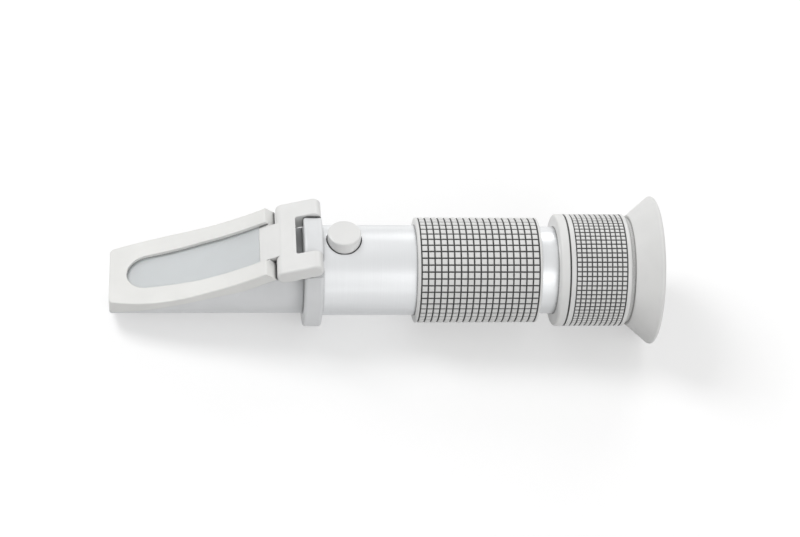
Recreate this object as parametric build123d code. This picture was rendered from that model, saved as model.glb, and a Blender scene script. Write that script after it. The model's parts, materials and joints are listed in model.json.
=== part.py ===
from build123d import *
import os
from math import asin, atan2, cos, degrees, hypot, radians, sin, sqrt, tan

# Hand-held refractometer with a hinged daylight cover, in millimetres.
# The optical axis is X: the prism is at -X and the eyecup at +X. Z is up, towards the cover and the
# zero knob, and Y runs across. The origin is on the optical axis, half way along the instrument.

# ---------------------------------------------------------------- lengths along the axis, from the tip
housing_length = 55.1        # prism housing, tip to collar
collar_thickness = 5.3
tube_exposed = 26.9          # bare tube between collar and grip
grip_length = 35.5
neck_exposed = 5.1           # barrel seen between grip and focus ring, half way through the travel
ring_length = 20.5           # focus ring
cup_foot_length = 1.2        # waist between focus ring and eyecup cone
cup_depth = 7.4              # eyecup cone, foot to rim

# ---------------------------------------------------------------- outer radii and walls
housing_radius = 12.3
collar_radius = 16.2
tube_radius = 13.0
tube_wall = 1.8
grip_radius = 15.2
barrel_radius = 12.6
barrel_bore = 9.5
ring_radius = 16.3
cup_foot_radius = 15.2
cup_base_radius = 16.0
cup_rim_radius = 21.5
cup_wall = 1.3

# ---------------------------------------------------------------- clearances
slip = 0.05                  # radial running fit
press = 0.02                 # radial gap of pieces that are pressed or cemented together
seat_gap = 0.12              # cover over prism when it is closed
side_gap = 0.15              # bracket prong beside the collar crest

# ---------------------------------------------------------------- prism housing and prism
seat_drop = 6.9              # prism face below the axis at the tip
roof_height = 7.0            # flat on the housing under the hinge bracket
roof_length = 11.55          # from the top of the prism face's slope to the collar
cheek_margin = 2.55          # straight side walls end this far ahead of the slope's top
cheek_round = 6.0
housing_edge = 0.8           # rounding of the housing's lower front rim
seat_edge = 0.3              # and of the rim of its slope
spigot_radius = 8.6          # housing into collar
spigot_length = 3.6
light_bore = 4.0
prism_start = 3.9            # prism behind the tip
prism_end_margin = 8.15      # prism ends this far ahead of the slope's top
prism_width = 14.0
prism_depth = 8.2            # prism base below the axis
gasket_width = 0.9
gasket_depth = 0.8

# ---------------------------------------------------------------- cover frame and window
cover_half_width = 12.9
tip_half_width = 10.0
tip_round = 1.6
cover_tip_z = -2.43          # top of the cover at the tip
cover_tip_slope = 6.9        # where the cover's hollow top begins; it rises to the arm ends
arm_setback = 3.1            # top edge of the arm ends, ahead of the bracket's wings
arm_rise = 1.0               # and above the middle of their front round
arm_bevel_run = 3.0          # the arm ends slope down and back
arm_bevel_drop = 2.1
arm_slope = 28.5             # underside of the arms where they leave the housing
slot_start = 4.9             # round end of the window slot, behind the tip
slot_end_radius = 6.2
slot_half_width = 7.25
slot_taper_length = 21.5     # slot widens from its round end over this length
window_recess = 1.2          # window below the cover's top
rabbet = 0.8                 # ledge that the window seats against
tongue_lap = 1.6             # the bracket's tongue begins this far ahead of the arm ends
tongue_drop = 1.1            # and this far below the cover's top
cover_edge = 0.35            # rounding round the cover's top

# ---------------------------------------------------------------- hinge bracket and pin
pin_radius = 0.6
pin_height = 13.5            # pin above the axis
bracket_thickness = 4.4
bracket_slope = 16.6
bracket_half_width = 13.4
bracket_reach = 12.9         # wings' front edge to prongs' back edge, along X
bracket_tail = 2.45          # prongs' back edge behind the pin
bracket_lift = 0.43          # middle of the bar above the pin
bracket_edge = 0.7           # rounding of the wings' and prongs' outer ends
notch_half_width = 7.1
notch_depth = 7.45           # from the prongs' back edge
notch_round = 0.6
tongue_half_width = 6.4
blind_wall = 1.3             # closed end of the pin hole, on the -Y side
pin_recess = 0.2             # pin ends below the prong's open side
shelf_depth = 3.1            # collar cut away below the pin, beside the crest
collar_edge = 0.8
tube_spigot = 2.7            # collar into tube

# ---------------------------------------------------------------- zero knob and objective
knob_behind_collar = 6.1     # knob axis behind the collar
knob_radius = 4.75
knob_top = 15.85
knob_height = 3.7
knob_edge = 0.5
knob_seat_gap = 0.15         # knob above the flat that is sunk into the tube
knob_rim_gap = 0.3           # and inside the flat's rim
screw_radius = 1.5
screw_tip = 6.0              # lower end of the screw above the axis
screw_in_knob = 2.2
screw_collar_radius = 2.4
screw_collar_height = 0.9
screw_passage = 0.4          # radial room for the screw in the objective guide
bush_radius = 3.2
guide_length = 6.0           # objective guide along the axis
cell_radius = 8.0
cell_flat = 7.0              # half distance between the cell's sliding flats
cell_travel = 0.6            # each way
cell_length = 5.0
objective_radius = 5.0
objective_thickness = 2.6
lens_lip = 0.8               # ledges, spacer and rings that hold the lenses
lens_bulge = 0.7             # crown of every lens above its rim
screw_play = 0.3             # bush ends short of the tube's bore

# ---------------------------------------------------------------- barrel, reticle and lens cell
barrel_spigot = 9.0          # barrel into tube
barrel_end_setback = 5.9     # barrel end before the focus ring's back face
tube_end_setback = 0.4       # tube end inside the grip
reticle_radius = 8.4
reticle_thickness = 1.5
reticle_ring_length = 1.6
barrel_lip = 1.2
barrel_clearance = 0.5       # barrel to focus ring web at the end of the travel
cell_ledge = 1.0
web_margin = 0.7             # web's bore beyond the lens cell
focus_travel = 2.0           # each way
lens_cell_wall = 1.7
lens_cell_length = 20.4
cell_flange_radius = 12.2
cell_flange_length = 0.9
eye_lens_thickness = 4.2
field_lens_thickness = 3.4
lens_ring_length = 1.8
guide_pin_radius = 1.0
keyway_depth = 0.9

# ---------------------------------------------------------------- focus ring, retainer and eyecup
ring_edge = 0.7
ring_groove_at = 2.5         # turned groove behind the ring's front face
ring_groove_depth = 0.4
ring_groove_width = 0.5
ring_plain_band = 4.6        # smooth band before the knurl
ring_back_band = 1.4
knurl_count = 60
knurl_depth = 0.4
ring_web = 0.8               # inner lip that carries the lens cell's flange
retainer_radius = 13.4
retainer_lip_radius = 12.0
retainer_lip_length = 3.6
retainer_bore = 10.0

# ---------------------------------------------------------------- grip and seals
grip_rows = 48
grip_groove_depth = 0.45
grip_groove_width = 0.5
grip_plain_end = 0.2         # from the end's rounding to the grooves
grip_edge = 0.5
seal_width = 1.5             # square-cut rubber rings
seal_depth = 1.25

# ---------------------------------------------------------------- places that follow from the sizes
overall_length = (housing_length + collar_thickness + tube_exposed + grip_length + neck_exposed
                  + ring_length + cup_foot_length + cup_depth)
x_tip = -overall_length / 2
x_collar = x_tip + housing_length
x_tube = x_collar + collar_thickness
x_grip = x_tube + tube_exposed
x_neck = x_grip + grip_length
x_ring = x_neck + neck_exposed
x_foot = x_ring + ring_length
x_cone = x_foot + cup_foot_length
x_rim = x_cone + cup_depth
x_pin = x_collar + collar_thickness / 2
x_knob = x_tube + knob_behind_collar
x_tube_end = x_neck - tube_end_setback
x_barrel_end = x_foot - barrel_end_setback
x_crest = x_collar - roof_length
x_prism = x_tip + prism_start
x_prism_end = x_crest - prism_end_margin
seat_angle = degrees(atan2(roof_height + seat_drop, x_crest - x_tip))
tube_bore = tube_radius - tube_wall
crest_half_width = notch_half_width - side_gap
bar_radius = bracket_thickness / 2
cut_margin = 5.0             # how far cutting solids run past what they cut


def seat_z(x):
    """Height of the prism face above the axis."""
    return (x - x_tip) * tan(radians(seat_angle)) - seat_drop


def rod(x0, x1, radius):
    """Cylinder on the optical axis."""
    return extrude(Plane.YZ.offset(x0) * Circle(radius), amount=x1 - x0)


def post(x, z0, z1, radius):
    """Upright cylinder whose own axis crosses the optical axis at x."""
    return extrude(Plane.XY.offset(z0) * Pos(x, 0) * Circle(radius), amount=z1 - z0)


def turned(points, rounds=()):
    """Body of revolution about the axis, from (x, radius) corners; rounds are (x, radius, fillet)."""
    section = make_face(Polyline(*points, close=True))
    for x, r, size in rounds:
        corner = section.vertices().sort_by_distance((x, r))[0]
        section = fillet(corner, size)
    return revolve(section, axis=Axis.X)


def slab(outline, half_width):
    """Side outline in X and Z, given the same width on both sides of the middle."""
    return extrude(Plane.XZ * outline, amount=half_width, both=True)


def tall(outline):
    """Plan outline in X and Y, carried far above and below the axis."""
    return extrude(outline, amount=collar_radius + cut_margin, both=True)


def lens(x_mid, radius, thickness):
    """Lens with two crowned faces, which stand lens_bulge proud of its rim."""
    front = x_mid - thickness / 2
    back = x_mid + thickness / 2
    crown = (radius ** 2 + lens_bulge ** 2) / (2 * lens_bulge)
    face_front = RadiusArc((front, 0), (front + lens_bulge, radius), crown)
    rim = Line((front + lens_bulge, radius), (back - lens_bulge, radius))
    face_back = RadiusArc((back - lens_bulge, radius), (back, 0), crown)
    axis_line = Line((back, 0), (front, 0))
    return revolve(make_face([face_front, rim, face_back, axis_line]), axis=Axis.X)


def lens_stand(radius):
    """A ledge or ring bears on a lens's crown, this far in front of the edge of its rim."""
    return lens_bulge * (1 - (1 - lens_lip / radius) ** 2) + press


# ---------------------------------------------------------------- prism housing
def roof_outline():
    """Everything above the prism face and the flat behind it, seen from the side."""
    front = x_tip - cut_margin
    back = x_collar + cut_margin
    sky = collar_radius + cut_margin
    return make_face(Polyline(
        (front, seat_z(front)),
        (x_crest, roof_height),
        (back, roof_height),
        (back, sky),
        (front, sky),
        close=True,
    ))


def prism_outline(gap=0.0):
    """Side view of the wedge prism, or of its pocket when there is a gap."""
    front = x_prism - gap
    back = x_prism_end + gap
    floor = -prism_depth - gap
    return make_face(Polyline(
        (front, seat_z(front)),
        (back, seat_z(back)),
        (back, floor),
        (front, floor),
        close=True,
    ))


def gasket_outline(grow=0.0):
    """Thin strip along the prism face, longer than the prism by the gasket at both ends."""
    reach = gasket_width + grow
    front = x_prism - reach
    back = x_prism_end + reach
    depth = gasket_depth + grow
    return make_face(Polyline(
        (front, seat_z(front)),
        (back, seat_z(back)),
        (back, seat_z(back) - depth),
        (front, seat_z(front) - depth),
        close=True,
    ))


def prism_housing():
    """Round-bottomed housing with straight cheeks, cut on the slope that seats the prism."""
    body = rod(x_tip, x_collar, housing_radius)
    rim = body.edges().filter_by(GeomType.CIRCLE).sort_by(Axis.X)[0]
    body = fillet(rim, housing_edge)
    cheek_length = x_crest - cheek_margin - x_tip
    cheeks = Pos(x_tip + cheek_length / 2, 0, 0) * Box(
        cheek_length, 2 * housing_radius, housing_radius,
        align=(Align.CENTER, Align.CENTER, Align.MIN),
    )
    uprights = cheeks.edges().filter_by(Axis.Z).sort_by(Axis.X)
    cheeks = fillet(uprights[2:], cheek_round)
    cheeks = fillet(cheeks.edges().filter_by(Axis.Z).sort_by(Axis.X)[:2], housing_edge)
    body = body + cheeks
    body = body - slab(roof_outline(), housing_radius + cut_margin)
    slope = body.faces().filter_by(GeomType.PLANE).sort_by(SortBy.AREA)[-1]
    body = fillet(slope.edges().sort_by(Axis.X)[:-1], seat_edge)
    body = body + rod(x_collar, x_collar + spigot_length, spigot_radius)
    body = body - slab(prism_outline(press), prism_width / 2 + press)
    body = body - slab(gasket_outline(press), prism_width / 2 + gasket_width + press)
    return body - rod(x_prism_end, x_collar + spigot_length, light_bore)


def measuring_prism():
    """Glass wedge; its ground face lies flush in the housing's slope."""
    return slab(prism_outline(), prism_width / 2)


def prism_gasket():
    """Sealing frame let into the housing around the prism's face."""
    frame = slab(gasket_outline(), prism_width / 2 + gasket_width)
    return frame - slab(prism_outline(press), prism_width / 2 + press)


# ---------------------------------------------------------------- daylight cover
def arm_end():
    """Top edge of the arms' ends, ahead of and above the bracket's wings."""
    wing_x, wing_z = bar_ends()[0]
    return (wing_x - bar_radius - arm_setback, wing_z + arm_rise)


def cover_arc_turn():
    """Angle by which the cover's hollow top steepens from the tip to the arm ends, in radians."""
    end = arm_end()
    return 2 * (atan2(end[1] - cover_tip_z, end[0] - x_tip) - radians(cover_tip_slope))


def cover_arc_radius():
    """Radius of the hollow top, which runs from the tip to the arm ends."""
    end = arm_end()
    chord = hypot(end[0] - x_tip, end[1] - cover_tip_z)
    return chord / (2 * sin(cover_arc_turn() / 2))


def cover_arc(drop=0.0):
    """Hollow curve along the cover's top, or parallel to it and lower by drop."""
    slope = radians(cover_tip_slope)
    start = (x_tip + drop * sin(slope), cover_tip_z - drop * cos(slope))
    radius = cover_arc_radius() + drop
    return JernArc(start, (cos(slope), sin(slope)), radius, degrees(cover_arc_turn()))


def cover_top_z(x):
    """Height of the hollow top above the axis."""
    radius = cover_arc_radius()
    slope = radians(cover_tip_slope)
    beyond_centre = x - x_tip + radius * sin(slope)
    return cover_tip_z + radius * cos(slope) - sqrt(radius ** 2 - beyond_centre ** 2)


def crossing(point_a, slope_a, point_b, slope_b):
    """Where two lines in the side view meet, each given by a point and a slope in degrees."""
    rise_a = tan(radians(slope_a))
    rise_b = tan(radians(slope_b))
    x = (point_b[1] - point_a[1] + rise_a * point_a[0] - rise_b * point_b[0]) / (rise_a - rise_b)
    return (x, point_a[1] + rise_a * (x - point_a[0]))


def cover_side():
    """Side view of the cover: hollow top, flat seat, relieved arms with bevelled ends."""
    top = cover_arc()
    tip_top = top @ 0
    arm_top = top @ 1
    arm_low = (arm_top.X + arm_bevel_run, arm_top.Y - arm_bevel_drop)
    tip_low = (x_tip, seat_z(x_tip) + seat_gap)
    relief = crossing(tip_low, seat_angle, arm_low, arm_slope)
    return make_face([
        top,
        Line(arm_top, arm_low),
        Line(arm_low, relief),
        Line(relief, tip_low),
        Line(tip_low, tip_top),
    ])


def slot_outline(grow=0.0):
    """Window slot in plan: a round end that widens into two straight sides, open at the arms."""
    centre = x_tip + slot_start + slot_end_radius
    end_radius = slot_end_radius + grow
    straight = x_tip + slot_start + slot_taper_length
    half = slot_half_width + grow
    far_end = arm_end()[0] + arm_bevel_run + cut_margin
    sides = Polyline((centre, end_radius), (straight, half), (far_end, half),
                     (far_end, -half), (straight, -half), (centre, -end_radius))
    end = ThreePointArc((centre, -end_radius), (centre - end_radius, 0), (centre, end_radius))
    return make_face([sides, end])


def cover_outline():
    """Plan of the cover: an ellipse from the narrow tip, then straight sides."""
    widest = x_tip + seat_drop / tan(radians(seat_angle))
    reach = widest - x_tip
    half_axis = reach / sqrt(1 - (tip_half_width / cover_half_width) ** 2)
    far_end = arm_end()[0] + arm_bevel_run + cut_margin
    long_oval = Pos(widest, 0) * Ellipse(half_axis, cover_half_width)
    front = Pos(x_tip + reach / 2, 0) * Rectangle(reach, 2 * cover_half_width)
    back = Pos((widest + far_end) / 2, 0) * Rectangle(far_end - widest, 2 * cover_half_width)
    return (long_oval & front) + back


def cover_frame():
    """U-shaped frame of the daylight cover, with a ledge under its top for window and tongue."""
    plan = cover_outline()
    tip_corners = plan.vertices().sort_by(Axis.X)[:2]
    body = slab(cover_side(), collar_radius) & tall(fillet(tip_corners, tip_round))
    hollow_top = body.faces().filter_by(GeomType.CYLINDER).sort_by(Axis.Z)[-1]
    body = fillet(hollow_top.edges(), cover_edge) - tall(slot_outline())
    return body - (tall(slot_outline(rabbet)) & slab(under_ledge(), collar_radius))


def under_ledge(gap=0.0):
    """Side view of all that lies below the ledge, which runs parallel to the cover's top."""
    lid = cover_arc(window_recess + gap)
    near = lid @ 0
    far = lid @ 1
    beyond = (far.X + cut_margin, far.Y + cut_margin * (lid % 1).Y / (lid % 1).X)
    floor = -collar_radius
    return make_face([
        lid,
        Line(far, beyond),
        Line(beyond, (beyond[0], floor)),
        Line((beyond[0], floor), (near.X, floor)),
        Line((near.X, floor), near),
    ])


def window_end():
    """X of the window's square end, where the bracket's tongue begins."""
    return arm_end()[0] - tongue_lap


def cover_window():
    """Frosted pane that seats against the ledge and lies on the prism with its flat side."""
    ahead = Pos(x_tip, 0) * Rectangle(2 * (window_end() - x_tip), 4 * cover_half_width)
    pane = tall(slot_outline(rabbet - press) & ahead) & slab(under_ledge(press), collar_radius)
    return pane & slab(cover_side(), collar_radius)


# ---------------------------------------------------------------- hinge bracket
def bar_ends():
    """Centres of the bracket bar's rounded front and back ends, in the side view."""
    back_x = x_pin + bracket_tail - bar_radius
    back_z = pin_height + bracket_lift
    front_x = x_pin + bracket_tail - bracket_reach + bar_radius
    front_z = back_z - (back_x - front_x) * tan(radians(bracket_slope))
    return (front_x, front_z), (back_x, back_z)


def bar_outline():
    """Side view of the bar: straight faces and fully rounded ends."""
    front, back = bar_ends()
    span = back[0] - front[0]
    length = span / cos(radians(bracket_slope)) + 2 * bar_radius
    middle = Pos((front[0] + back[0]) / 2, (front[1] + back[1]) / 2)
    return middle * Rot(0, 0, bracket_slope) * SlotOverall(length, 2 * bar_radius)


def tongue_outline():
    """Side view of the tongue, from the end of the window into the bar."""
    front = bar_ends()[0]
    slope = radians(bracket_slope)
    into_bar = (front[0] - bar_radius * sin(slope), front[1] + bar_radius * cos(slope))
    start = window_end() + press
    start_z = cover_top_z(start) - tongue_drop
    arm_top = cover_arc() @ 1
    arm_low = (arm_top.X + arm_bevel_run, arm_top.Y - arm_bevel_drop)
    low_rise = tan(radians(arm_slope))
    return make_face(Polyline(
        (start, start_z),
        into_bar,
        front,
        (front[0], arm_low[1] + (front[0] - arm_low[0]) * low_rise),
        (start, arm_low[1] + (start - arm_low[0]) * low_rise),
        close=True,
    ))


def hinge_bracket():
    """H-shaped bracket: a tongue held between the arms, wings, and two prongs on the pin."""
    back_x = x_pin + bracket_tail
    body = slab(bar_outline(), bracket_half_width)
    body = fillet(body.faces().filter_by(Axis.Y).edges(), bracket_edge)
    rib = slab(tongue_outline(), tongue_half_width)
    flange = slab(tongue_outline(), slot_half_width + rabbet - press)
    flange = flange & slab(under_ledge(press), collar_radius) & slab(cover_side(), collar_radius)
    body = body + rib + flange
    notch_end = back_x - notch_depth
    notch = Pos(notch_end + notch_depth, 0) * RectangleRounded(
        2 * notch_depth, 2 * notch_half_width, notch_round)
    body = body - tall(notch)
    return body - pin_hole(slip, -bracket_half_width + blind_wall - pin_recess)


def pin_hole(gap, y_closed):
    """Hole for the hinge pin, from its closed end out through the +Y side."""
    length = collar_radius - y_closed
    return Pos(x_pin, y_closed + length / 2, pin_height) * Rot(90, 0, 0) * Cylinder(
        pin_radius + gap, length)


def hinge_pin():
    """Plain pin through the collar's crest into both prongs."""
    y_closed = -bracket_half_width + blind_wall
    y_open = bracket_half_width - pin_recess
    return Pos(x_pin, (y_closed + y_open) / 2, pin_height) * Rot(90, 0, 0) * Cylinder(
        pin_radius, y_open - y_closed)


# ---------------------------------------------------------------- collar and tube
def front_collar():
    """Disc between housing and tube; its crest stands between two shelves and holds the pin."""
    spigot_end = x_tube + tube_spigot
    bore = light_bore + lens_lip
    points = [
        (x_collar, spigot_radius + press),
        (x_collar, collar_radius),
        (x_tube, collar_radius),
        (x_tube, tube_bore - press),
        (spigot_end, tube_bore - press),
        (spigot_end, bore),
        (x_collar + spigot_length + press, bore),
        (x_collar + spigot_length + press, spigot_radius + press),
    ]
    rounds = [(x_collar, collar_radius, collar_edge), (x_tube, collar_radius, collar_edge)]
    body = turned(points, rounds)
    shelf_z = pin_height - shelf_depth
    for side in (1, -1):
        cut = Box(2 * collar_thickness, collar_radius, collar_radius,
                  align=(Align.CENTER, Align.MIN, Align.MIN))
        corner = Pos(x_pin, side * crest_half_width, shelf_z)
        if side < 0:
            cut = mirror(cut, Plane.XZ)
        body = body - corner * cut
    body = body - seal_groove(x_tube + tube_spigot / 2, tube_bore - press)
    return body - pin_hole(press, -collar_radius)


def seal_groove(x, radius):
    """Groove for a sealing ring in the outside of a spigot."""
    reach = seal_width / 2 + slip
    return turned([
        (x - reach, radius - seal_depth),
        (x + reach, radius - seal_depth),
        (x + reach, radius + cut_margin),
        (x - reach, radius + cut_margin),
    ])


def seal(x, radius):
    """Square-cut rubber ring that fills its groove up to the bore outside it."""
    return turned([
        (x - seal_width / 2, radius - seal_depth + press),
        (x + seal_width / 2, radius - seal_depth + press),
        (x + seal_width / 2, radius - press),
        (x - seal_width / 2, radius - press),
    ])


def tube_seal():
    """Sealing ring between collar and tube."""
    return seal(x_tube + tube_spigot / 2, tube_bore - press)


def barrel_seal():
    """Sealing ring between tube and barrel."""
    return seal(x_tube_end - barrel_spigot / 3, tube_bore - press)


def body_tube():
    """Main tube, with a flat and a hole for the zero knob's bush."""
    body = turned([
        (x_tube, tube_bore),
        (x_tube, tube_radius),
        (x_tube_end, tube_radius),
        (x_tube_end, tube_bore),
    ])
    flat_radius = knob_radius + knob_rim_gap
    body = body - post(x_knob, knob_floor(), tube_radius + cut_margin, flat_radius)
    return body - post(x_knob, 0, tube_radius + cut_margin, bush_radius + press)


def knob_floor():
    """Height of the flat under the zero knob."""
    return knob_top - knob_height - knob_seat_gap


# ---------------------------------------------------------------- objective and zero knob
def cell_outline(grow=0.0, travel=0.0):
    """Front view of the objective cell: round top and bottom and two sliding flats."""
    radius = cell_radius + grow
    stretched = Circle(radius)
    if travel > 0:
        stretched = Pos(0, travel) * Circle(radius) + Pos(0, -travel) * Circle(radius)
        stretched += Rectangle(2 * radius, 2 * travel)
    return stretched & Rectangle(2 * (cell_flat + grow), 2 * (radius + travel))


def across_axis(outline, x_mid, length):
    """Front-view outline carried along the axis, equally both ways from x_mid."""
    return extrude(Plane.YZ.offset(x_mid) * outline, amount=length / 2, both=True)


def objective_guide():
    """Ring in the tube with an upright slot for the objective cell."""
    outer = Circle(tube_bore - press)
    slot = cell_outline(slip, cell_travel + slip)
    body = across_axis(outer - slot, x_knob, guide_length)
    body = body - post(x_knob, 0, tube_bore, screw_radius + screw_passage)
    pocket_floor = bush_bottom() - screw_collar_height - 2 * slip
    return body - post(x_knob, pocket_floor, tube_bore + cut_margin, bush_radius + press)


def bush_bottom():
    """Lower end of the knob's bush, inside the tube wall."""
    return tube_bore - screw_play


def objective_cell():
    """Sliding cell; its lens drops in from the front and the screw enters from above."""
    body = across_axis(cell_outline(), x_knob, cell_length)
    seat_front = x_knob - cell_length / 2
    seat_back = x_knob + cell_length / 2 - lens_lip
    body = body - rod(seat_front, seat_back, objective_radius + press)
    body = body - rod(seat_front, x_knob + cell_length, objective_radius - lens_lip)
    screw_floor = objective_radius + lens_lip / 2
    return body - post(x_knob, screw_floor, cell_radius + cut_margin, screw_radius + slip)


def objective_lens():
    """Doublet's outer form, against the cell's rear ledge."""
    back = x_knob + cell_length / 2 - lens_lip - lens_stand(objective_radius) + lens_bulge
    return lens(back - objective_thickness / 2, objective_radius, objective_thickness)


def objective_ring():
    """Retaining ring in front of the objective."""
    front = x_knob - cell_length / 2
    rear_rim = x_knob + cell_length / 2 - lens_lip - lens_stand(objective_radius)
    back = rear_rim - lens_rim(objective_thickness) - lens_stand(objective_radius)
    outer = objective_radius - press
    return hollow(front, back, outer, outer - lens_lip)


def knob_bush():
    """Bush that carries the screw through the tube wall, flush with the flat under the knob."""
    body = post(x_knob, bush_bottom(), knob_floor(), bush_radius)
    return body - post(x_knob, 0, knob_top, screw_radius + slip)


def calibration_screw():
    """Plain-shanked screw; a collar under the bush keeps it from rising."""
    shank_top = knob_top - knob_height + screw_in_knob
    collar_top = bush_bottom() - slip
    body = post(x_knob, screw_tip, shank_top, screw_radius)
    return body + post(x_knob, collar_top - screw_collar_height, collar_top, screw_collar_radius)


def calibration_knob():
    """Round knob, softly rounded above."""
    floor = knob_top - knob_height
    body = post(x_knob, floor, knob_top, knob_radius)
    body = fillet(body.edges().group_by(Axis.Z)[-1], knob_edge)
    return body - post(x_knob, floor, floor + screw_in_knob + press, screw_radius + press)


# ---------------------------------------------------------------- grip
def grip_sleeve():
    """Rubber sleeve with lengthwise grooves between two plain ends."""
    bore = tube_radius + press
    body = turned(
        [(x_grip, bore), (x_grip, grip_radius), (x_neck, grip_radius), (x_neck, bore)],
        [(x_grip, grip_radius, grip_edge), (x_neck, grip_radius, grip_edge)],
    )
    start = x_grip + grip_edge + grip_plain_end
    end = x_neck - grip_edge - grip_plain_end
    groove = Pos((start + end) / 2, 0, grip_radius) * Box(
        end - start, grip_groove_width, 2 * grip_groove_depth)
    return body - around_axis(groove, grip_rows)


def around_axis(shape, count):
    """Equal copies of a shape round the optical axis."""
    return [Rot(360 * step / count, 0, 0) * shape for step in range(count)]


# ---------------------------------------------------------------- barrel and reticle
def eyepiece_barrel():
    """Barrel in the tube's end; the focus ring runs on it and the lens cell slides in it."""
    front = x_tube_end - barrel_spigot
    reticle_seat = front + reticle_ring_length + reticle_thickness + 2 * press
    body = turned([
        (front, reticle_radius + press),
        (front, tube_bore - press),
        (x_tube_end, tube_bore - press),
        (x_tube_end, barrel_radius),
        (x_barrel_end, barrel_radius),
        (x_barrel_end, barrel_bore),
        (reticle_seat + barrel_lip, barrel_bore),
        (reticle_seat + barrel_lip, reticle_radius - barrel_lip),
        (reticle_seat, reticle_radius - barrel_lip),
        (reticle_seat, reticle_radius + press),
    ])
    body = body - seal_groove(x_tube_end - barrel_spigot / 3, tube_bore - press)
    return body - post(guide_pin_x(), -tube_radius, 0, guide_pin_radius + press)


def guide_pin_x():
    """The guide pin stands midway between the lens cell's front and the barrel's end."""
    return (lens_cell_front() + x_barrel_end) / 2


def focus_guide_pin():
    """Radial pin under the barrel; it reaches into the lens cell's keyway."""
    inner_end = barrel_bore - slip - keyway_depth + slip
    return post(guide_pin_x(), -barrel_radius + pin_recess, -inner_end, guide_pin_radius)


def reticle():
    """Graduated glass disc, held against the barrel's inner lip."""
    front = x_tube_end - barrel_spigot + reticle_ring_length + press
    return rod(front, front + reticle_thickness, reticle_radius)


def reticle_ring():
    """Screwed ring in front of the reticle."""
    front = x_tube_end - barrel_spigot
    return rod(front, front + reticle_ring_length, reticle_radius) - rod(
        front, front + reticle_ring_length, reticle_radius - barrel_lip)


# ---------------------------------------------------------------- sliding lens cell
def web_front():
    """Front face of the focus ring's inner web, clear of the barrel at the end of the travel."""
    return x_barrel_end + focus_travel + barrel_clearance


def flange_front():
    return web_front() + ring_web + slip


def flange_back():
    return flange_front() + cell_flange_length


def lens_cell_front():
    return flange_back() - lens_cell_length


def lens_rim(thickness):
    """Straight part of a lens's rim, between its two crowns."""
    return thickness - 2 * lens_bulge


def lens_cell():
    """Keyed cell that slides in the barrel and carries both eyepiece lenses."""
    outer = barrel_bore - slip
    inner = outer - lens_cell_wall
    front = lens_cell_front()
    ledge = front + cell_ledge
    body = turned([
        (front, inner - lens_lip),
        (front, outer),
        (flange_front(), outer),
        (flange_front(), cell_flange_radius),
        (flange_back(), cell_flange_radius),
        (flange_back(), inner),
        (ledge, inner),
        (ledge, inner - lens_lip),
    ])
    keyway_length = 2 * (focus_travel + guide_pin_radius + 2 * slip)
    keyway = Pos(guide_pin_x(), 0, -outer) * Box(
        keyway_length, 2 * (guide_pin_radius + slip), 2 * keyway_depth)
    return body - keyway


def eyepiece_lens_radius():
    return barrel_bore - slip - lens_cell_wall - press


def field_lens():
    """Front lens of the eyepiece, against the cell's ledge."""
    front = lens_cell_front() + cell_ledge + lens_stand(eyepiece_lens_radius()) - lens_bulge
    return lens(front + field_lens_thickness / 2, eyepiece_lens_radius(), field_lens_thickness)


def eye_lens_front_rim():
    ring_front = flange_back() - lens_ring_length
    return ring_front - lens_stand(eyepiece_lens_radius()) - lens_rim(eye_lens_thickness)


def eye_lens():
    """Rear lens of the eyepiece, which the eye looks into."""
    front = eye_lens_front_rim() - lens_bulge
    return lens(front + eye_lens_thickness / 2, eyepiece_lens_radius(), eye_lens_thickness)


def hollow(x0, x1, outer, inner):
    """Plain ring or tube on the axis."""
    return rod(x0, x1, outer) - rod(x0, x1, inner)


def lens_spacer():
    """Tube that holds the two eyepiece lenses apart."""
    outer = eyepiece_lens_radius()
    stand = lens_stand(outer)
    start = lens_cell_front() + cell_ledge + lens_rim(field_lens_thickness) + 2 * stand
    return hollow(start, eye_lens_front_rim() - stand, outer, outer - lens_lip)


def lens_ring():
    """Screwed ring behind the eye lens."""
    outer = eyepiece_lens_radius()
    return hollow(flange_back() - lens_ring_length, flange_back(), outer, outer - lens_lip)


# ---------------------------------------------------------------- focus ring and eyecup
def focus_ring():
    """Knurled ring that runs on the barrel; a web inside it carries the lens cell's flange."""
    bore = barrel_radius + slip
    pocket = retainer_radius + press
    web_back = web_front() + ring_web
    groove = x_ring + ring_groove_at
    body = turned(
        [
            (x_ring, bore),
            (x_ring, ring_radius),
            (groove, ring_radius),
            (groove, ring_radius - ring_groove_depth),
            (groove + ring_groove_width, ring_radius - ring_groove_depth),
            (groove + ring_groove_width, ring_radius),
            (x_foot, ring_radius),
            (x_foot, pocket),
            (web_back, pocket),
            (web_back, barrel_bore + web_margin),
            (web_front(), barrel_bore + web_margin),
            (web_front(), bore),
        ],
        [(x_ring, ring_radius, ring_edge), (x_foot, ring_radius, ring_edge)],
    )
    start = x_ring + ring_plain_band
    end = x_foot - ring_back_band
    side = knurl_depth * sqrt(2)
    flute = Pos((start + end) / 2, 0, ring_radius) * Rot(45, 0, 0) * Box(end - start, side, side)
    return body - around_axis(flute, knurl_count)


def cell_retainer():
    """Ring screwed in behind the lens cell's flange; its collar holds the eyecup."""
    return turned([
        (flange_back() + slip, retainer_bore),
        (flange_back() + slip, retainer_radius),
        (x_foot, retainer_radius),
        (x_foot, retainer_lip_radius),
        (x_foot + retainer_lip_length, retainer_lip_radius),
        (x_foot + retainer_lip_length, retainer_bore),
    ])


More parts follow.
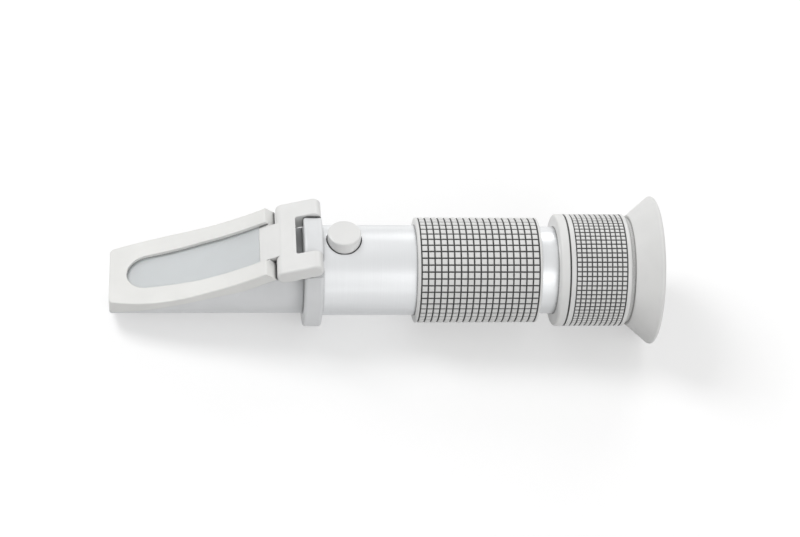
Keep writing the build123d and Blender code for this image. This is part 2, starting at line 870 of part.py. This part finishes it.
def eyecup():
    """Flared rubber cup: an even wall that leans outwards to a fully rounded rim."""
    half_wall = cup_wall / 2
    rim_x = x_rim - half_wall
    rim_r = cup_rim_radius - half_wall
    reach = sqrt((rim_x - x_cone) ** 2 + (rim_r - cup_base_radius) ** 2)
    lean = atan2(rim_r - cup_base_radius, rim_x - x_cone) + asin(half_wall / reach)
    out = (-sin(lean) * half_wall, cos(lean) * half_wall)
    tip = (rim_x + cos(lean) * half_wall, rim_r + sin(lean) * half_wall)
    floor = x_foot + retainer_lip_length - pin_recess
    throat = retainer_lip_radius + press
    inner_edge = (rim_x - out[0], rim_r - out[1])
    floor_edge = (floor, inner_edge[1] - (inner_edge[0] - floor) * tan(lean))
    outer_edge = (rim_x + out[0], rim_r + out[1])
    wall = Polyline(inner_edge, floor_edge, (floor, throat), (x_foot + slip, throat),
                    (x_foot + slip, cup_foot_radius), (x_cone, cup_foot_radius),
                    (x_cone, cup_base_radius), outer_edge)
    rim = ThreePointArc(outer_edge, tip, inner_edge)
    return revolve(make_face([wall, rim]), axis=Axis.X)


# ---------------------------------------------------------------- every piece, by its node's name
pieces = {
    "prism_housing": prism_housing,
    "measuring_prism": measuring_prism,
    "prism_gasket": prism_gasket,
    "cover_frame": cover_frame,
    "cover_window": cover_window,
    "hinge_bracket": hinge_bracket,
    "hinge_pin": hinge_pin,
    "front_collar": front_collar,
    "body_tube": body_tube,
    "objective_guide": objective_guide,
    "objective_cell": objective_cell,
    "objective_lens": objective_lens,
    "objective_ring": objective_ring,
    "knob_bush": knob_bush,
    "calibration_screw": calibration_screw,
    "calibration_knob": calibration_knob,
    "grip_sleeve": grip_sleeve,
    "eyepiece_barrel": eyepiece_barrel,
    "reticle": reticle,
    "reticle_ring": reticle_ring,
    "focus_guide_pin": focus_guide_pin,
    "lens_cell": lens_cell,
    "field_lens": field_lens,
    "lens_spacer": lens_spacer,
    "eye_lens": eye_lens,
    "lens_ring": lens_ring,
    "focus_ring": focus_ring,
    "cell_retainer": cell_retainer,
    "eyecup": eyecup,
    "tube_seal": tube_seal,
    "barrel_seal": barrel_seal,
}


os.makedirs("parts", exist_ok=True)
for name, build in pieces.items():
    piece = build()
    piece.label = name
    export_step(piece, f"parts/{name}.step")
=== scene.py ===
import json
import math
from collections import namedtuple

import bmesh
import bpy
from mathutils import Matrix, Vector


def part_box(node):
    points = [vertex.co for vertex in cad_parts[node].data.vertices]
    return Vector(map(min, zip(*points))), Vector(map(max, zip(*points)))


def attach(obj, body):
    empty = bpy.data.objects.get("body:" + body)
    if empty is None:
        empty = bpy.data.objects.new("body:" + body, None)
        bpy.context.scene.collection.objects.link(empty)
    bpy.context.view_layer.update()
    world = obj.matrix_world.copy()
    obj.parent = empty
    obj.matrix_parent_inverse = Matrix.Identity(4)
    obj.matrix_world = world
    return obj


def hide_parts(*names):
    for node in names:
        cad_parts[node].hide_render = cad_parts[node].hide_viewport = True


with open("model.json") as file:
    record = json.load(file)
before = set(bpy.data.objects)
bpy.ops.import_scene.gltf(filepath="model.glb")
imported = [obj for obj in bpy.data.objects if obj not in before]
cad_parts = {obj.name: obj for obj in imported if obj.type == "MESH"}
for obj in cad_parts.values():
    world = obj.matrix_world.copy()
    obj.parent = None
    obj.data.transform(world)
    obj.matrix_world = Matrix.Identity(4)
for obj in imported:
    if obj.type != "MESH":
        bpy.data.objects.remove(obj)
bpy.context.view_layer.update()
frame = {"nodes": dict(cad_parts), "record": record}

bpy.context.scene.view_settings.view_transform = "Standard"
MM = 0.001

# ---------------------------------------------------------------- camera
VIEW_TARGET = Vector((4.875, 0, 0)) * MM     # point of the optical axis in the middle of the view
VIEW_SWING = math.radians(5.5)               # camera stands this far towards the prism
VIEW_HEIGHT = math.radians(48.0)
VIEW_DISTANCE = 642 * MM
VIEW_RAISE = 0.433 * MM                      # the image centre lies just above the target
SENSOR = 36                                  # width in mm
LENS = 100                                   # focal length in mm
CLIP_NEAR, CLIP_FAR = 10 * MM, 20.0

# ---------------------------------------------------------------- floor and light
FLOOR_SIZE = 6.0                             # side in metres
FLOOR_COLOUR = (0.62, 0.62, 0.62)
FLOOR_ROUGHNESS = 0.9
FLOOR_GLOW = (0.42, 1.0)                     # lifts the floor to white, near the object and far off
GLOW_REACH = (0.12, 0.40)                    # where the first of these ends and the second begins
COLLAR_EDGE = 0.8 * MM                       # from the collar's front to the line on which it lies
RIM_EDGE = 0.65 * MM                         # from the eyecup's end to the line on which it lies
FLOOR_GAP = 0.03 * MM
AMBIENT = 0.46                               # world light on the object
LAMPS = (                                    # name, place, side in metres, watts
    ("key", (-0.45, 0.25, 0.75), 0.4, 3.8),
    ("fill", (0.5, -0.7, 0.35), 0.6, 2.2),
    ("rim", (0.35, 0.7, 0.45), 0.4, 1.2),
)

# ---------------------------------------------------------------- finishes
COATED = (                                   # slot, colour, roughness, grain size, grain depth
    ("satin_metal", (0.78, 0.79, 0.80), 0.34, 0.25 * MM, 0.01 * MM),
    ("cover_plastic", (0.81, 0.81, 0.79), 0.40, 0.3 * MM, 0.015 * MM),
    ("bracket_plastic", (0.79, 0.79, 0.78), 0.38, 0.3 * MM, 0.015 * MM),
    ("knob_plastic", (0.80, 0.80, 0.79), 0.32, 0.3 * MM, 0.01 * MM),
    ("ring_plastic", (0.80, 0.80, 0.79), 0.42, 0.3 * MM, 0.015 * MM),
    ("grip_rubber", (0.80, 0.80, 0.79), 0.60, 0.2 * MM, 0.03 * MM),
    ("cup_rubber", (0.79, 0.79, 0.78), 0.55, 0.25 * MM, 0.03 * MM),
    ("black_metal", (0.03, 0.03, 0.032), 0.5, 0.2 * MM, 0.01 * MM),
    ("seal_rubber", (0.05, 0.05, 0.05), 0.6, 0.2 * MM, 0.01 * MM),
)
TURNED = (                                   # slot, colour, roughness
    ("tube_metal", (0.73, 0.74, 0.75), 0.32),
    ("steel_pin", (0.55, 0.55, 0.56), 0.3),
    ("brass_bush", (0.72, 0.56, 0.28), 0.3),
)
CLEAR = (                                    # slot, tint, roughness, transmission
    ("frosted_pane", (0.90, 0.93, 0.94), 0.4, 0.45),
    ("prism_glass", (0.80, 0.90, 0.96), 0.05, 0.9),
    ("lens_glass", (0.94, 0.97, 0.98), 0.02, 1.0),
)
GLASS_IOR = 1.5
SEAM_SHADE_TONE = 0.07                         # painted shade: colour left deep in the seams between pieces
SEAM_SHADE_RANGE = (0.35, 0.78)                    # openness where the painted seam shade is darkest and where it ends
SEAM_SHADE_REACH = 1.2 * MM                        # how near another surface must be for painted shade in a seam
GRID_SHADE_REACH = 0.5 * MM                        # the same for painted shade between the pads of a grid
# samples for the painted seam shade
SEAM_SHADE_SAMPLES = 8
# painted shade on the floor of the grid's grooves
GROOVE_SHADE_COLOUR = (0.07, 0.07, 0.07)
GROOVE_SHADE_FADE = (0.8, 0.25)                    # shares of the depth where the painted groove shade is full, and where it ends
SOFT_EDGE = 0.25 * MM                        # rounding that every edge shows in the light
EDGE_SAMPLES = 4
MOTTLE_SCALE = 90                            # noise per metre
MOTTLE_RANGE = (0.35, 0.65)                  # noise where a patch is darkest and where it ends
MOTTLE_TONE = 0.955                          # colour of a moulded surface's darker patches
GRAIN_RELIEF = 0.35                          # strength of the bump
GRAIN_GLOSS = 0.06                           # roughness changes this much either way
TURNING_SCALE = (9000, 60, 60)               # marks lie close along the axis and run long round it
TURNING_TONE = 0.90                          # colour of the darker marks
TURNING_RELIEF = 0.25                        # strength of the bump
TURNING_DEPTH = 0.01 * MM
SMUDGE_SCALE = 60
SMUDGE_GLOSS = (-0.04, 0.07)                 # change of roughness, smoothest and roughest
HAZE_SCALE = 500
HAZE_GLOSS = 0.05                            # roughness grows by up to this much

# ---------------------------------------------------------------- grip and knurl
Grid = namedtuple("Grid", "columns rows groove depth edge")   # edge: bevel round each pad
GRIP_GRID = Grid(18, 48, 0.40 * MM, 0.50 * MM, 0.14 * MM)
GRIP_ROUND = 0.45 * MM
GRIP_LIP = 0.7 * MM                          # plain rim beside the grid
KNURL_GRID = Grid(10, 75, 0.34 * MM, 0.38 * MM, 0.12 * MM)
ROUND_STEPS = 5                              # facets of a rounded corner
RING_ROUND = 0.7 * MM
RING_GROOVE_AT = 2.5 * MM                    # from the ring's front
RING_GROOVE = 0.5 * MM
RING_GROOVE_DEPTH = 0.4 * MM
KNURL_START = 4.3 * MM                       # from the ring's front
KNURL_END = 1.3 * MM                         # from its back
RING_WEB_GAP = 2.5 * MM                      # from the barrel's end to the ring's web
RING_WEB = 0.8 * MM
RING_WEB_BORE = 10.2 * MM
SLEEVE_FIT = 0.02 * MM                       # clearance of a sleeve on what it is fixed to
TURNING_FIT = 0.05 * MM                      # clearance of the ring on the barrel
SHARP_ANGLE = math.radians(28)
MERGE_DISTANCE = 1e-7


# ---------------------------------------------------------------- camera, floor, light
def make_camera():
    """Camera as in the drawing: from above and slightly from the prism end, with the tube level."""
    swing, height = VIEW_SWING, VIEW_HEIGHT
    level, across = Vector((1, 0, 0)), Vector((0, math.cos(height), -math.sin(height)))
    right = level * math.cos(swing) - across * math.sin(swing)
    ahead = level * math.sin(swing) + across * math.cos(swing)
    up = right.cross(ahead)
    camera = bpy.data.objects.new("camera", bpy.data.cameras.new("camera"))
    bpy.context.scene.collection.objects.link(camera)
    turn = Matrix((right, up, -ahead)).transposed()
    place = VIEW_TARGET - ahead * VIEW_DISTANCE + up * VIEW_RAISE
    camera.matrix_world = Matrix.Translation(place) @ turn.to_4x4()
    camera.data.lens = LENS
    camera.data.sensor_width = SENSOR
    camera.data.clip_start = CLIP_NEAR
    camera.data.clip_end = CLIP_FAR
    bpy.context.scene.camera = camera


def shown_ray(tree):
    """1 for what the view, a reflection or glass sees, 0 for light that falls on the object."""
    path = tree.nodes.new("ShaderNodeLightPath")
    seen = path.outputs["Is Camera Ray"]
    for other in ("Is Glossy Ray", "Is Transmission Ray"):
        seen = value_node(tree, "MAXIMUM", seen, path.outputs[other])
    return seen


def make_world():
    """White where it is seen, softer where it lights the object."""
    world = bpy.data.worlds.new("studio")
    world.use_nodes = True
    bpy.context.scene.world = world
    tree = world.node_tree
    background = tree.nodes["Background"]
    background.inputs["Color"].default_value = (1, 1, 1, 1)
    strength = remap(tree, shown_ray(tree), AMBIENT, 1.0)
    tree.links.new(strength, background.inputs["Strength"])


def make_floor():
    """Pale table; it touches the eyecup's rim and the collar, as the instrument lies."""
    cup_low, cup_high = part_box("eyecup")
    collar_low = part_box("front_collar")[0]
    cup_x = cup_high.x - RIM_EDGE
    tilt = math.atan((collar_low.z - cup_low.z) / (cup_x - collar_low.x - COLLAR_EDGE))
    mesh = bpy.data.meshes.new("floor")
    half = FLOOR_SIZE / 2
    corners = [(-half, -half, 0), (half, -half, 0), (half, half, 0), (-half, half, 0)]
    mesh.from_pydata(corners, [], [(0, 1, 2, 3)])
    floor = bpy.data.objects.new("floor", mesh)
    bpy.context.scene.collection.objects.link(floor)
    to_rim = Matrix.Translation((cup_x, 0, cup_low.z - FLOOR_GAP))
    under_middle = Matrix.Translation((-cup_x, 0, 0))
    floor.matrix_world = to_rim @ Matrix.Rotation(tilt, 4, "Y") @ under_middle
    material, tree, surface = principled("floor")
    surface.inputs["Base Color"].default_value = (*FLOOR_COLOUR, 1)
    surface.inputs["Roughness"].default_value = FLOOR_ROUGHNESS
    surface.inputs["Emission Color"].default_value = (1, 1, 1, 1)
    where = tree.nodes.new("ShaderNodeTexCoord")
    away = tree.nodes.new("ShaderNodeVectorMath")
    away.operation = "LENGTH"
    tree.links.new(where.outputs["Object"], away.inputs[0])
    glow = remap(tree, away.outputs["Value"], *FLOOR_GLOW, *GLOW_REACH)
    strength = value_node(tree, "MULTIPLY", shown_ray(tree), glow)
    tree.links.new(strength, surface.inputs["Emission Strength"])
    mesh.materials.append(material)


def area_light(name, place, size, energy):
    """Soft rectangular lamp that faces the middle of the object."""
    lamp = bpy.data.lights.new(name, "AREA")
    lamp.size = size
    lamp.energy = energy
    light = bpy.data.objects.new(name, lamp)
    bpy.context.scene.collection.objects.link(light)
    place = Vector(place)
    aim = (-place).to_track_quat("-Z", "Y").to_matrix().to_4x4()
    light.matrix_world = Matrix.Translation(place) @ aim


# ---------------------------------------------------------------- materials
def principled(name):
    """New material, its tree and its surface shader."""
    material = bpy.data.materials.new(name)
    material.use_nodes = True
    tree = material.node_tree
    return material, tree, tree.nodes["Principled BSDF"]


def place_node(tree, scale=(1, 1, 1)):
    """Object coordinates in metres, scaled."""
    where = tree.nodes.new("ShaderNodeTexCoord")
    mapping = tree.nodes.new("ShaderNodeMapping")
    mapping.inputs["Scale"].default_value = scale
    tree.links.new(where.outputs["Object"], mapping.inputs["Vector"])
    return mapping.outputs["Vector"]


def noise_node(tree, vector, scale, detail=2.0, rough=0.5):
    """Noise between 0 and 1."""
    noise = tree.nodes.new("ShaderNodeTexNoise")
    noise.inputs["Scale"].default_value = scale
    noise.inputs["Detail"].default_value = detail
    noise.inputs["Roughness"].default_value = rough
    tree.links.new(vector, noise.inputs["Vector"])
    return noise.outputs["Fac"]


def remap(tree, value, low, high, from_low=0.0, from_high=1.0):
    """Value between from_low and from_high, stretched to run from low to high."""
    node = tree.nodes.new("ShaderNodeMapRange")
    node.inputs["From Min"].default_value = from_low
    node.inputs["From Max"].default_value = from_high
    node.inputs["To Min"].default_value = low
    node.inputs["To Max"].default_value = high
    tree.links.new(value, node.inputs["Value"])
    return node.outputs["Result"]


def blend_colours(tree, factor, colour_a, colour_b):
    """Mix of two colours; either may be a socket or three numbers."""
    mix = tree.nodes.new("ShaderNodeMix")
    mix.data_type = "RGBA"
    tree.links.new(factor, mix.inputs["Factor"])
    first, second, mixed = mix.inputs[6], mix.inputs[7], mix.outputs[2]   # its colour sockets
    for socket, colour in ((first, colour_a), (second, colour_b)):
        if isinstance(colour, tuple):
            socket.default_value = (*colour, 1)
        else:
            tree.links.new(colour, socket)
    return mixed


def bump_node(tree, height, strength, distance, normal):
    """Normal with a height's relief added to another normal."""
    bump = tree.nodes.new("ShaderNodeBump")
    bump.inputs["Strength"].default_value = strength
    bump.inputs["Distance"].default_value = distance
    tree.links.new(height, bump.inputs["Height"])
    tree.links.new(normal, bump.inputs["Normal"])
    return bump.outputs["Normal"]


def crevice_shade(tree, reach):
    """Occlusion for painted shade: 1 in the open, falling to 0 deep in a seam or groove within
    reach.
    """
    shade = tree.nodes.new("ShaderNodeAmbientOcclusion")
    shade.inputs["Distance"].default_value = reach
    shade.samples = SEAM_SHADE_SAMPLES
    return shade.outputs["AO"]


def soft_edge(tree):
    """Normal that shows every edge slightly rounded."""
    bevel = tree.nodes.new("ShaderNodeBevel")
    bevel.samples = EDGE_SAMPLES
    bevel.inputs["Radius"].default_value = SOFT_EDGE
    return bevel.outputs["Normal"]


def value_node(tree, operation, first, second):
    """Arithmetic on a socket and a number or second socket."""
    node = tree.nodes.new("ShaderNodeMath")
    node.operation = operation
    tree.links.new(first, node.inputs[0])
    if isinstance(second, float):
        node.inputs[1].default_value = second
    else:
        tree.links.new(second, node.inputs[1])
    return node.outputs[0]


def toned(colour, share):
    """Colour at a share of its brightness."""
    return tuple(channel * share for channel in colour)


def groove_shade_mask(tree, radius, depth, start, end):
    """Painted shade mask: 1 on the floor of grooves in a turned surface of this radius, 0 on its
    outside.

    start and end are where the grooves begin and stop along the axis.
    """
    at = tree.nodes.new("ShaderNodeTexCoord").outputs["Object"]
    across = tree.nodes.new("ShaderNodeVectorMath")
    across.operation = "MULTIPLY"
    across.inputs[1].default_value = (0, 1, 1)   # leaves the distance from the axis
    tree.links.new(at, across.inputs[0])
    distance = tree.nodes.new("ShaderNodeVectorMath")
    distance.operation = "LENGTH"
    tree.links.new(across.outputs["Vector"], distance.inputs[0])
    dark_at, clear_at = (radius - share * depth for share in GROOVE_SHADE_FADE)
    deep = remap(tree, distance.outputs["Value"], 1.0, 0.0, dark_at, clear_at)
    split = tree.nodes.new("ShaderNodeSeparateXYZ")
    tree.links.new(at, split.inputs["Vector"])
    behind = value_node(tree, "GREATER_THAN", split.outputs["X"], start)
    ahead = value_node(tree, "LESS_THAN", split.outputs["X"], end)
    on_grid = value_node(tree, "MULTIPLY", behind, ahead)
    return value_node(tree, "MULTIPLY", deep, on_grid)


def with_seam_shade(tree, body, colour, reach):
    """Surface colour with painted shade in the seams within reach."""
    # painted shade: the colour darkens where other surfaces are near
    unshaded = remap(tree, crevice_shade(tree, reach), 0.0, 1.0, *SEAM_SHADE_RANGE)
    return blend_colours(tree, unshaded, toned(colour, SEAM_SHADE_TONE), body)


def coated(name, colour, roughness, grain, grain_depth, grooves):
    """Moulded or painted surface: slight mottle, fine grain, soft edges, and painted shade in seams
    and grooves.

    grooves is None, or what groove_shade_mask takes for the painted groove shade.
    """
    material, tree, surface = principled(name)
    at = place_node(tree)
    mottle = remap(tree, noise_node(tree, at, MOTTLE_SCALE, detail=3), 0.0, 1.0, *MOTTLE_RANGE)
    body = blend_colours(tree, mottle, toned(colour, MOTTLE_TONE), colour)
    # painted shade in the seams, or between the pads of a grid
    body = with_seam_shade(tree, body, colour, GRID_SHADE_REACH if grooves else SEAM_SHADE_REACH)
    if grooves:
        # painted shade on the floors of the grooves
        body = blend_colours(tree, groove_shade_mask(tree, *grooves), body, GROOVE_SHADE_COLOUR)
    tree.links.new(body, surface.inputs["Base Color"])
    fine = noise_node(tree, at, 1 / grain)
    gloss = remap(tree, fine, roughness - GRAIN_GLOSS, roughness + GRAIN_GLOSS)
    tree.links.new(gloss, surface.inputs["Roughness"])
    relief = bump_node(tree, fine, GRAIN_RELIEF, grain_depth, soft_edge(tree))
    tree.links.new(relief, surface.inputs["Normal"])
    return material


def turned_metal(name, colour, roughness):
    """Satin metal with fine turning marks round the axis, and painted shade in its seams."""
    material, tree, surface = principled(name)
    marks = noise_node(tree, place_node(tree, TURNING_SCALE), 1.0, detail=3, rough=0.6)
    body = blend_colours(tree, marks, toned(colour, TURNING_TONE), colour)
    # painted shade in the seams
    body = with_seam_shade(tree, body, colour, SEAM_SHADE_REACH)
    tree.links.new(body, surface.inputs["Base Color"])
    surface.inputs["Metallic"].default_value = 1.0
    smudge = noise_node(tree, place_node(tree), SMUDGE_SCALE, detail=3)
    smoother, rougher = (roughness + change for change in SMUDGE_GLOSS)
    tree.links.new(remap(tree, smudge, smoother, rougher), surface.inputs["Roughness"])
    relief = bump_node(tree, marks, TURNING_RELIEF, TURNING_DEPTH, soft_edge(tree))
    tree.links.new(relief, surface.inputs["Normal"])
    return material


def clear_glass(name, tint, roughness, transmission):
    """Glass or frosted plastic with a slight haze."""
    material, tree, surface = principled(name)
    surface.inputs["Base Color"].default_value = (*tint, 1)
    surface.inputs["Transmission Weight"].default_value = transmission
    surface.inputs["IOR"].default_value = GLASS_IOR
    haze = noise_node(tree, place_node(tree), HAZE_SCALE)
    gloss = remap(tree, haze, roughness, roughness + HAZE_GLOSS)
    tree.links.new(gloss, surface.inputs["Roughness"])
    return material


def turned_grooves(node, depth, from_start, from_end):
    """For groove_shade_mask: a round node's radius, its grooves' depth and stretch along the axis.
    """
    low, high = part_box(node)
    return high.z, depth, low.x + from_start, high.x - from_end


def make_materials():
    """Every finish, by its slot in the record."""
    half_lip = 0.5 * GRIP_LIP
    # grooves whose floors take painted shade
    grooves = {
        "grip_rubber": turned_grooves("grip_sleeve", GRIP_GRID.depth, half_lip, half_lip),
        "ring_plastic": turned_grooves("focus_ring", KNURL_GRID.depth, RING_ROUND, 0.5 * KNURL_END),
    }
    finishes = {row[0]: coated(*row, grooves.get(row[0])) for row in COATED}
    finishes.update({row[0]: turned_metal(*row) for row in TURNED})
    finishes.update({row[0]: clear_glass(*row) for row in CLEAR})
    return finishes


def dress_nodes(materials):
    """Every CAD piece takes the finish of its slot in the record."""
    for part in frame["record"]["subparts"]:
        node = frame["nodes"][part["node"]]
        node.data.materials.clear()
        node.data.materials.append(materials[part["material_slot"]])


# ---------------------------------------------------------------- grid sleeves
def pad_stops(start, pitch, count, groove, edge):
    """Stops across a row of pads, each with its level: 0 groove floor, 1 shoulder, 2 pad top."""
    stops = []
    for step in range(count):
        low = start + step * pitch
        high = low + pitch - groove
        stops += [(low, 0), (low, 1), (low + edge, 2), (high - edge, 2), (high, 1), (high, 0)]
    return stops


def grid_sleeve(name, finish, profile_before, profile_after, span, radius, grid):
    """Closed turned sleeve with rows and columns of bevelled pads on one stretch of its outside.

    The plain profile is a loop of (x, radius) points: up to the grid's start, and on from its end.
    """
    columns, rows, groove, depth, edge = grid
    start, end = span
    girth = 2 * math.pi * radius
    around = pad_stops(0, girth / rows, rows, groove, edge)
    along = [(x, r, None) for x, r in profile_before + [(start, radius), (start, radius - depth)]]
    pitch = (end - start - groove) / columns
    pads = pad_stops(start + groove, pitch, columns, groove, edge)
    along += [(x, radius, level) for x, level in pads]
    along += [(x, r, None) for x, r in [(end, radius - depth), (end, radius)] + profile_after]
    drop = (depth, edge, 0.0)                # below the outside, by level
    mesh = bmesh.new()
    rings = []
    for x, r, level in along:
        ring = []
        for arc, row_level in around:
            height = r if level is None else r - drop[min(level, row_level)]
            angle = arc / radius
            ring.append(mesh.verts.new((x, height * math.cos(angle), height * math.sin(angle))))
        rings.append(ring)
    for ring, following in zip(rings, rings[1:] + rings[:1]):
        for step, corner in enumerate(ring):
            beyond = (step + 1) % len(ring)
            mesh.faces.new((corner, following[step], following[beyond], ring[beyond]))
    bmesh.ops.remove_doubles(mesh, verts=mesh.verts, dist=MERGE_DISTANCE)
    bmesh.ops.recalc_face_normals(mesh, faces=mesh.faces)
    data = bpy.data.meshes.new(name)
    mesh.to_mesh(data)
    mesh.free()
    data.materials.append(finish)
    data.shade_smooth()
    data.set_sharp_from_angle(angle=SHARP_ANGLE)
    piece = bpy.data.objects.new(name, data)
    bpy.context.scene.collection.objects.link(piece)
    return piece


def quarter_round(x, radius, size, inward):
    """Rounded corner from the end face at x to the outside.

    inward is +1 where the sleeve lies at larger x than its end, and -1 at the other end.
    """
    points = []
    for step in range(ROUND_STEPS + 1):
        angle = math.pi / 2 * step / ROUND_STEPS
        along = size * (1 - math.sin(angle))
        down = size * (1 - math.cos(angle))
        points.append((x + inward * along, radius - down))
    return points[::-1]


def make_grip(finishes):
    """Rubber sleeve with a square grid over its whole length."""
    low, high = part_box("grip_sleeve")
    radius = high.z
    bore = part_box("body_tube")[1].z + SLEEVE_FIT
    before = [(low.x, bore)] + quarter_round(low.x, radius, GRIP_ROUND, 1)
    after = quarter_round(high.x, radius, GRIP_ROUND, -1)[::-1] + [(high.x, bore)]
    span = (low.x + GRIP_LIP, high.x - GRIP_LIP)
    finish = finishes["grip_rubber"]
    piece = grid_sleeve("grip_grid", finish, before, after, span, radius, GRIP_GRID)
    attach(piece, "root")
    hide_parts("grip_sleeve")


def make_ring(finishes):
    """Focus ring: plain band, turned groove and square knurl, with the CAD ring's bore and web."""
    low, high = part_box("focus_ring")
    radius = high.z
    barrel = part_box("eyepiece_barrel")[1]
    bore = barrel.z + TURNING_FIT
    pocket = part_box("cell_retainer")[1].z + SLEEVE_FIT
    web_front = barrel.x + RING_WEB_GAP
    web_back = web_front + RING_WEB
    groove = low.x + RING_GROOVE_AT
    floor = radius - RING_GROOVE_DEPTH
    before = [(web_front, bore), (low.x, bore)] + quarter_round(low.x, radius, RING_ROUND, 1)
    before += [(groove, radius), (groove, floor)]
    before += [(groove + RING_GROOVE, floor), (groove + RING_GROOVE, radius)]
    after = quarter_round(high.x, radius, RING_ROUND, -1)[::-1]
    after += [(high.x, pocket), (web_back, pocket)]
    after += [(web_back, RING_WEB_BORE), (web_front, RING_WEB_BORE)]
    span = (low.x + KNURL_START, high.x - KNURL_END)
    finish = finishes["ring_plastic"]
    piece = grid_sleeve("knurled_ring", finish, before, after, span, radius, KNURL_GRID)
    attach(piece, "eyepiece")
    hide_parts("focus_ring")


make_camera()
make_world()
make_floor()
for lamp in LAMPS:
    area_light(*lamp)
finishes = make_materials()
dress_nodes(finishes)
make_grip(finishes)
make_ring(finishes)
